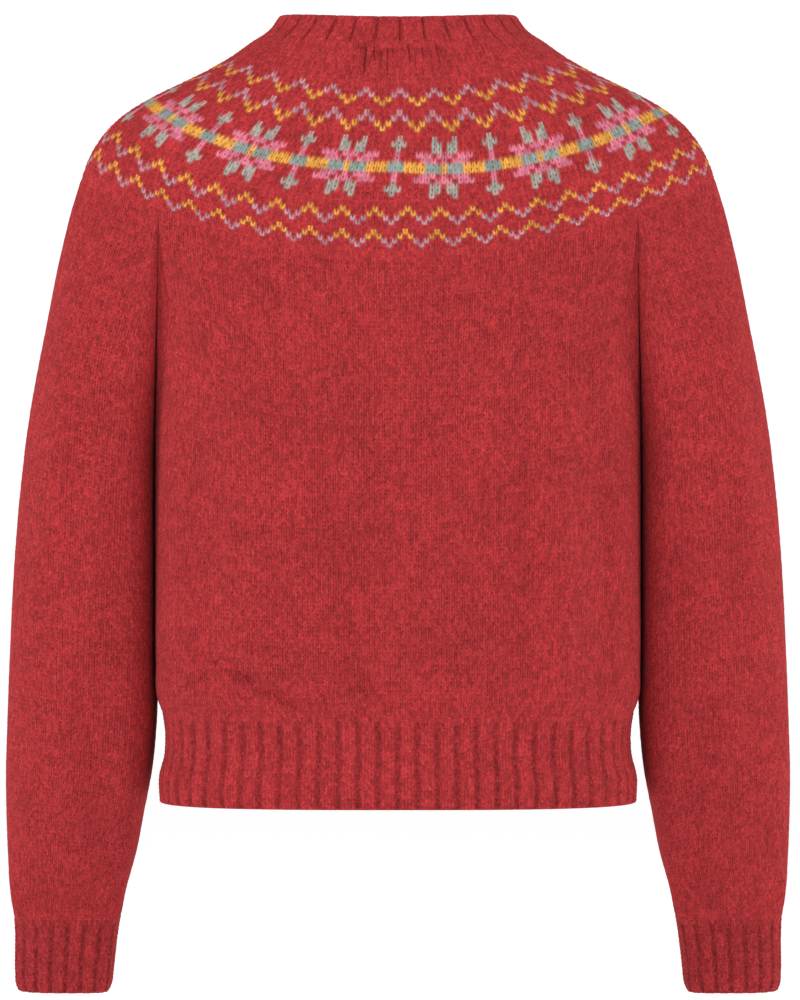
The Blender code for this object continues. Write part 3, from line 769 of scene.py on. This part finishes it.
back_folds = (
    (0.111, 0.002, -0.190, hem_seam_z, 0.011, 0.0085),
    (0.087, 0.002, -0.210, hem_seam_z, 0.013, -0.0056),
    (0.138, 0.002, -0.220, hem_seam_z, 0.012, -0.0066),
    (-0.056, 0.046, -0.240, hem_seam_z, 0.014, -0.0082),
    (-0.084, 0.040, -0.260, hem_seam_z, 0.014, 0.0026),
    (-0.104, 0.014, -0.120, -0.430, 0.018, 0.0044),
    (-0.134, 0.004, -0.200, -0.420, 0.013, -0.0030),
    (0.046, -0.034, -0.300, hem_seam_z, 0.014, -0.0026),
    (-0.148, 0.092, -0.382, hem_seam_z, 0.006, -0.0046),
    (-0.126, 0.082, -0.374, hem_seam_z, 0.007, 0.0034),
    (-0.040, 0.040, -0.395, hem_seam_z, 0.007, -0.0040),
    (-0.110, -0.060, -0.395, hem_seam_z, 0.007, -0.0030),
)
front_folds = (
    (-0.104, -0.012, -0.190, hem_seam_z, 0.017, 0.0040),
    (-0.136, -0.010, -0.220, hem_seam_z, 0.013, -0.0030),
    (0.030, 0.012, -0.230, hem_seam_z, 0.020, -0.0034),
    (0.072, 0.014, -0.200, hem_seam_z, 0.017, 0.0030),
    (0.118, -0.008, -0.170, hem_seam_z, 0.016, 0.0022),
)


def armhole(turn):
    """Points of the armhole, at angles from -pi/2 behind the arm through 0 under it to pi/2."""
    ends = at_shares(yoke_loops[-1], np.array([behind_arm, ahead_of_arm]))
    start = np.where(turn < 0, ends[0, 2], ends[1, 2])
    reach = np.where(turn < 0, underarm_y - ends[0, 1], ends[1, 1] - underarm_y)
    y = underarm_y + reach * np.sin(turn)
    z = start + (underarm_z - start) * np.cos(turn)
    x = armhole_x + armhole_turn * np.cos(turn) ** 2
    return np.stack([x, y, z], axis=-1)


def folded(points, table, across, depth, facing):
    """Points moved along Y by a table's folds. The depth is Y from the middle, and facing is a sign."""
    moved = points.copy()
    on_side = smooth(facing * depth / fold_ease)
    for row in table:
        fold = dict(zip(fold_columns, row))
        share = (fold["top"] - points[..., 2]) / (fold["top"] - fold["foot"])
        line = fold["across"] + fold["lean"] * share
        near = np.exp(-(((across - line) / fold["half_width"]) ** 2))
        along = np.clip(4 * share * (1 - share), 0, 1) ** fold_ends
        moved[..., 1] += facing * fold["lift"] * near * along * on_side
    return moved


def hanging(top, loop_at, shares, foot_z, fade, along):
    """A tube's points below its top edge, easing from that edge's form to its level loops."""
    levels = np.linspace(top[:, 2].max(), foot_z, tube_levels)
    loops = np.array([at_shares(loop_at(level), shares) for level in levels])

    def section(z):
        return between_loops(loops, (levels[0] - z) / (levels[0] - foot_z))

    z = top[None, :, 2] + (foot_z - top[None, :, 2]) * along
    left = 1 - smooth((top[None, :, 2] - z) / fade)
    points = section(z) + (top - section(top[None, :, 2])[0])[None] * left[..., None]
    points[..., 2] = z
    return points


def level_oval(table, level):
    sizes = [read(table, body_columns, name, level) for name in body_columns[1:]]
    x, y = oval(full_turn(), *sizes, body_middle_y, body_power)
    return np.stack([x, y, np.full(loop_points, level)], axis=-1)


spread = yoke_girths[-1] / loop_length(level_oval(body_table, body_chest_level)) * body_ease
half_back, half_front = foot_stitches["back"] // 2, foot_stitches["front"] // 2
body_corners = np.cumsum((0, half_back, underarm_stitches["body"], half_front))
half_columns = np.arange(4 * body_corners[-1] + 1) / 4
half_shares = np.interp(half_columns, body_corners,
                        (0, behind_arm * spread, 0.5 - (0.5 - ahead_of_arm) * spread, 0.5))
body_shares = np.concatenate([half_shares, 1 - half_shares[-2:0:-1]])
body_turns = np.linspace(-math.pi / 2, math.pi / 2, 4 * underarm_stitches["body"] + 1)
half_top = np.vstack([
    at_shares(yoke_loops[-1], np.linspace(0, behind_arm, 4 * half_back + 1)),
    armhole(body_turns)[1:-1],
    at_shares(yoke_loops[-1], np.linspace(ahead_of_arm, 0.5, 4 * half_front + 1)),
])
body_top = np.vstack([half_top, half_top[-2:0:-1] * np.array([-1.0, 1.0, 1.0])])
body_across = np.arange(len(body_shares)) / 4


def body_cloth(along):
    points = hanging(body_top, lambda level: level_oval(body_table, level), body_shares, hem_seam_z,
                     body_fade, along)
    for table, facing in ((back_folds, -1.0), (front_folds, 1.0)):
        points = folded(points, table, points[..., 0], points[..., 1] - body_middle_y, facing)
    return points


body_down, body_placed = knitted(body_across, body_rounds, 1, plain_dip)
body_points = body_cloth(body_placed / body_rounds)
body_height = hand_uneven(stitch_relief(body_across, body_down, yoke_wale, 0.0), yarn_uneven)
body_outside = body_points + outward(body_points) * body_height[..., None]
inside_rounds = np.linspace(0, 1, body_inside_rows)
body_inside = body_cloth(inside_rounds[:, None] + 0 * body_across[None, :])
body_inside = body_inside - outward(body_inside) * cloth_wall

side_column = 4 * (half_back + underarm_stitches["body"] // 2)
body_wool = wool_material("plain_lambswool", valley=0.66, pit=0.75, haze=0.6, depth=0.00035,
                          yarn=red_yarn)
ring = len(body_across)
panels = {
    "body_back": np.arange(-side_column, side_column + 1) % ring,
    "body_front": np.arange(side_column, ring - side_column + 1),
}


def panel_cloth(outside, inside, columns, rounds):
    """A panel of a tube as a thin closed shell: stitches outside, a plain lining and four edges."""
    cloth = new_cloth()
    across = np.arange(len(columns)) / 4
    numbers = lay_points(cloth, outside[:, columns])
    lay_stitches(cloth, numbers, across, inner_rounds(rounds), red_yarn)
    lined = columns[::4]
    lining = lay_points(cloth, inside[:, lined])
    places = across[::4]
    drops = np.linspace(rounds[0], rounds[-1], len(inside))
    lay_stitches(cloth, lining, places, drops, red_yarn, facing_out=False)
    join_edges(cloth, lining[0], places, numbers[0], across, red_yarn, closed=False)
    join_edges(cloth, numbers[-1], across, lining[-1], places, red_yarn, closed=False)
    join_edges(cloth, numbers[:, 0][::-1], -rounds[::-1], lining[:, 0][::-1], -drops[::-1], red_yarn,
               closed=False)
    join_edges(cloth, numbers[:, -1], rounds, lining[:, -1], drops, red_yarn, closed=False)
    return cloth


for name, columns in panels.items():
    cloth = panel_cloth(body_outside, body_inside, columns, body_down)
    dress("knit_" + name, cloth, body_wool, name)

# Hem rib: a band of two plain and two purl stitches, knitted tighter than the body so that it draws
# the body in. Its open edge is cast on, which closes the grooves in small dark pits.

hem_z = -0.4975
hem_ribs = 67
hem_rounds = 22
band_crease = 0.00010
hem_table = (
    (hem_seam_z, 0.1650, -0.0925, 0.1090),
    (-0.4490, 0.1630, -0.0915, 0.1080),
    (-0.4650, 0.1636, -0.0915, 0.1075),
    (-0.4800, 0.1672, -0.0925, 0.1080),
    (hem_z, 0.1668, -0.0925, 0.1075),
)
rib_heights = (-1.0, -0.92, -0.35, 0.10, -0.05, 0.12, -0.20, 0.12, -0.05, 0.10, -0.35, -0.92)
rib_shares = (0.0, 0.08, 0.17, 0.25, 0.335, 0.42, 0.50, 0.58, 0.665, 0.75, 0.83, 0.92)
rib_stitches = (0.0, 0.5, 1.0, 1.25, 1.5, 1.75, 2.0, 2.25, 2.5, 2.75, 3.0, 3.5)
two_by_two = tuple(zip(rib_shares, rib_stitches, rib_heights))


def cast_on_closing(down, rounds):
    """Grooves fade in below the seam, deepen into pits above the cast-on edge and close on it."""
    from_edge = rounds - down
    pit = np.exp(-(((from_edge - 1.5) / 0.9) ** 2))
    return 0.35 * pit - 0.75 * smooth(1 - from_edge) - smooth(1 - down / 1.5)


def hem_loop(t):
    return level_oval(hem_table, hem_seam_z + (hem_z - hem_seam_z) * t)


hem = rib_band(hem_loop, hem_ribs, two_by_two, hem_rounds, band_crease, cast_on_closing)
dress("knit_hem_rib", hem, rib_wool, "hem_rib")

# Sleeves: plain tubes that hang from the yoke and are gathered into their cuffs. Each is folded
# softly at the bend of the arm and above the cuff.

cuff_seam_z = -0.5815
outer_power, inner_power = 2.35, 5.0
sleeve_fade = 0.120
over_arm_share = 0.57
sleeve_rounds = 180
sleeve_inside_rows = 31
sleeve_columns = ("level", "inner", "outer", "depth", "middle")
sleeve_table = (
    (-0.0600, 0.1640, 0.2200, 0.1400, 0.0120),
    (-0.0842, 0.1680, 0.2278, 0.1410, 0.0135),
    (-0.1124, 0.1700, 0.2352, 0.1420, 0.0150),
    (-0.1687, 0.1711, 0.2473, 0.1390, 0.0180),
    (-0.2250, 0.1713, 0.2583, 0.1330, 0.0210),
    (-0.2814, 0.1713, 0.2656, 0.1280, 0.0230),
    (-0.3378, 0.1713, 0.2703, 0.1230, 0.0250),
    (-0.3944, 0.1713, 0.2733, 0.1180, 0.0270),
    (-0.4368, 0.1716, 0.2751, 0.1130, 0.0290),
    (-0.4794, 0.1754, 0.2765, 0.1070, 0.0310),
    (-0.5078, 0.1808, 0.2763, 0.1010, 0.0320),
    (-0.5362, 0.1862, 0.2754, 0.0910, 0.0330),
    (-0.5645, 0.1938, 0.2738, 0.0760, 0.0340),
    (cuff_seam_z, 0.1970, 0.2713, 0.0620, 0.0345),
)
sleeve_folds = (
    (0.032, 0.010, -0.120, -0.370, 0.009, -0.0030),
    (0.016, 0.014, -0.180, -0.400, 0.012, 0.0030),
    (-0.014, 0.010, -0.250, -0.430, 0.015, 0.0032),
    (0.012, -0.016, -0.400, cuff_seam_z, 0.012, 0.0034),
    (-0.022, -0.010, -0.440, cuff_seam_z, 0.010, -0.0028),
)


def sleeve_loop(table, level):
    """A level loop of the +X sleeve, from its outermost line towards the front."""
    inner, outer, depth, middle = (read(table, sleeve_columns, name, level) for name in sleeve_columns[1:])
    angles = full_turn()
    power = np.where(np.cos(angles) > 0, outer_power, inner_power)
    y, x = oval(angles, depth / 2, 0, outer - inner, (outer - inner) / 2, power)
    return np.stack([outer - x, middle + y, np.full(loop_points, level)], axis=-1)


over_stitches, under_stitches = foot_stitches["over_arm"], underarm_stitches["sleeve"]
sleeve_shares = np.concatenate([
    np.linspace(-over_arm_share / 2, over_arm_share / 2, 4 * over_stitches + 1),
    np.linspace(over_arm_share / 2, 1 - over_arm_share / 2, 4 * under_stitches + 1)[1:-1],
])
sleeve_top = np.vstack([
    at_shares(yoke_loops[-1], np.linspace(behind_arm, ahead_of_arm, 4 * over_stitches + 1)),
    armhole(np.linspace(math.pi / 2, -math.pi / 2, 4 * under_stitches + 1))[1:-1],
])
sleeve_across = np.arange(len(sleeve_shares)) / 4


def sleeve_cloth(along):
    points = hanging(sleeve_top, lambda level: sleeve_loop(sleeve_table, level), sleeve_shares,
                     cuff_seam_z, sleeve_fade, along)
    z = points[..., 2]
    level, inner, outer, _, middle_y = np.array(sleeve_table[::-1]).T
    middle_x = np.interp(z, level, (inner + outer) / 2)
    middle_y = np.interp(z, level, middle_y)
    for facing in (-1.0, 1.0):
        points = folded(points, sleeve_folds, points[..., 0] - middle_x, points[..., 1] - middle_y, facing)
    return points


sleeve_down, sleeve_placed = knitted(sleeve_across, sleeve_rounds, 1, plain_dip)
sleeve_points = sleeve_cloth(sleeve_placed / sleeve_rounds)
sleeve_height = hand_uneven(stitch_relief(sleeve_across, sleeve_down, yoke_wale, 0.0), yarn_uneven)
sleeve_outside = sleeve_points + outward(sleeve_points) * sleeve_height[..., None]
inside_rounds = np.linspace(0, 1, sleeve_inside_rows)
sleeve_inside = sleeve_cloth(inside_rounds[:, None] + 0 * sleeve_across[None, :])
sleeve_inside = sleeve_inside - outward(sleeve_inside) * cloth_wall


def tube_cloth(outside, inside, rounds, mirrored):
    """A tube as a thin closed shell. The other side's has its columns turned round to face out."""
    if mirrored:
        outside, inside = (points[:, ::-1] * np.array([-1.0, 1.0, 1.0]) for points in (outside, inside))
    first = 3 if mirrored else 0
    cloth = new_cloth()
    count = outside.shape[1]
    across = (np.arange(count + 1) + int(mirrored)) / 4
    places = np.arange(count) / count
    numbers = lay_points(cloth, outside)
    lay_stitches(cloth, numbers, across, inner_rounds(rounds), red_yarn)
    lining = lay_points(cloth, inside[:, first::4])
    lined = places[first::4]
    drops = np.linspace(rounds[0], rounds[-1], len(inside))
    lay_stitches(cloth, lining, np.arange(len(lined) + 1), drops, red_yarn, facing_out=False)
    join_edges(cloth, lining[0], lined, numbers[0], places, red_yarn)
    join_edges(cloth, numbers[-1], places, lining[-1], lined, red_yarn)
    return cloth


for side, mirrored in (("right", False), ("left", True)):
    cloth = tube_cloth(sleeve_outside, sleeve_inside, sleeve_down, mirrored)
    dress("knit_sleeve_" + side, cloth, body_wool, "sleeve_" + side)

# Cuffs: bands of the same two by two rib, knitted tight so that they gather the sleeves and close
# round the wrists. Their cast-on edges are rounded.

cuff_z = -0.6335
cuff_ribs = 20
cuff_rounds = 18
# Painted shade: the cuffs' yarn is darkened to 0.84 of the red, for the dimmer light down at the wrists.
shaded_cuff_yarn = red_yarn * 0.84
cuff_table = (
    (cuff_seam_z, 0.1970, 0.2713, 0.0620, 0.0345),
    (-0.5930, 0.1988, 0.2708, 0.0590, 0.0345),
    (-0.6210, 0.2021, 0.2708, 0.0570, 0.0350),
    (-0.6290, 0.2030, 0.2702, 0.0560, 0.0350),
    (cuff_z, 0.2046, 0.2684, 0.0530, 0.0350),
)


def cuff_loop(mirrored):
    def loop_at(t):
        loop = sleeve_loop(cuff_table, cuff_seam_z + (cuff_z - cuff_seam_z) * t)
        return loop[::-1] * np.array([-1.0, 1.0, 1.0]) if mirrored else loop
    return loop_at


for side, mirrored in (("right", False), ("left", True)):
    cuff = rib_band(cuff_loop(mirrored), cuff_ribs, two_by_two, cuff_rounds, band_crease, cast_on_closing,
                    shaded_cuff_yarn)
    dress("knit_cuff_" + side, cuff, rib_wool, "cuff_" + side)

# Studio: a pale floor that sweeps up behind, wide soft lamps on both sides and above, and a long
# lens level with the middle of the garment's height, straight behind its back.

floor_z = -0.72
sweep_y, sweep_radius, floor_reach = 5.0, 1.5, 3.5
room_pale, room_dim = 0.72, 0.03
room_pale_to, room_dim_from = 0.22, 0.45
paper_grey, paper_glow = 0.40, 0.82
white = (1.0, 1.0, 1.0, 1.0)
turns = np.linspace(0, math.pi / 2, 17)
profile = [(-floor_reach, floor_z)]
for turn in turns:
    rise = sweep_radius * (1 - math.cos(turn))
    profile.append((sweep_y + sweep_radius * math.sin(turn), floor_z + rise))
profile.append((sweep_y + sweep_radius, floor_reach))
sweep_points = [(x, y, z) for x in (-floor_reach, floor_reach) for y, z in profile]
count = len(profile)
sweep_mesh = bpy.data.meshes.new("studio_sweep")
sweep_faces = [(k, k + count, k + count + 1, k + 1) for k in range(count - 1)]
sweep_mesh.from_pydata(sweep_points, [], sweep_faces)
sweep_mesh.shade_smooth()
sweep = bpy.data.objects.new("studio_sweep", sweep_mesh)
bpy.context.scene.collection.objects.link(sweep)
paper = bpy.data.materials.new("pale_paper")
paper.use_nodes = True
paper_shader = paper.node_tree.nodes["Principled BSDF"]
paper_shader.inputs["Base Color"].default_value = (paper_grey, paper_grey, paper_grey, 1.0)
paper_shader.inputs["Roughness"].default_value = 0.95
paper_shader.inputs["Emission Color"].default_value = white
paper_shader.inputs["Emission Strength"].default_value = paper_glow
sweep_mesh.materials.append(paper)

# The room is pale at the garment's level, all round, and dim above and below, where the lamps and
# the floor give the light.
world = bpy.data.worlds.new("studio")
world.use_nodes = True
room = world.node_tree
facing = room.nodes.new("ShaderNodeSeparateXYZ")
room.links.new(room.nodes.new("ShaderNodeTexCoord").outputs["Generated"], facing.inputs[0])
level = room.nodes.new("ShaderNodeMapRange")
level.interpolation_type = "SMOOTHSTEP"
level.inputs["From Min"].default_value = room_dim_from
level.inputs["From Max"].default_value = room_pale_to
level.inputs["To Min"].default_value = room_dim
level.inputs["To Max"].default_value = room_pale
room.links.new(math_node(room, "ABSOLUTE", facing.outputs["Z"]), level.inputs["Value"])
room.links.new(level.outputs["Result"], room.nodes["Background"].inputs["Strength"])
room.nodes["Background"].inputs["Color"].default_value = white
bpy.context.scene.world = world

lamps = (
    ("key_soft_box", (-2.1, -1.3, 1.6), (0.7, 0.7), 37.0),
    ("top_soft_box", (0.0, -2.0, 2.2), (1.2, 0.8), 18.0),
    ("fill_soft_box", (2.1, -1.5, 1.2), (1.2, 1.2), 18.0),
    ("right_soft_box", (2.1, -0.3, 0.6), (0.8, 1.2), 6.0),
    ("left_rim_box", (-2.0, 0.7, 0.4), (0.8, 1.6), 3.0),
    ("right_rim_box", (2.0, 0.7, 0.4), (0.8, 1.6), 6.0),
)
lamp_target = np.array([0.0, 0.0, -0.15])
for name, place, size, power in lamps:
    lamp = bpy.data.lights.new(name, "AREA")
    lamp.shape = "RECTANGLE"
    lamp.size, lamp.size_y = size
    lamp.energy = power
    placed_lamp = bpy.data.objects.new(name, lamp)
    placed_lamp.location = place
    aim = lamp_target - np.array(place)
    flat = math.hypot(aim[0], aim[1])
    placed_lamp.rotation_euler = (math.atan2(flat, -aim[2]), 0.0, math.atan2(-aim[0], aim[1]))
    bpy.context.scene.collection.objects.link(placed_lamp)

camera_x, camera_distance = 0.0014, 3.0
camera_height = -0.287
metres_per_pixel = 0.0007
picture_height = 1000
camera_data = bpy.data.cameras.new("camera")
camera_data.sensor_fit = "VERTICAL"
camera_data.sensor_height = 24.0
camera_data.lens = camera_data.sensor_height * camera_distance / (metres_per_pixel * picture_height)
camera = bpy.data.objects.new("camera", camera_data)
camera.location = (camera_x, -camera_distance, camera_height)
camera.rotation_euler = (math.pi / 2, 0.0, 0.0)
bpy.context.scene.collection.objects.link(camera)
bpy.context.scene.camera = camera
bpy.context.scene.view_settings.view_transform = "Standard"
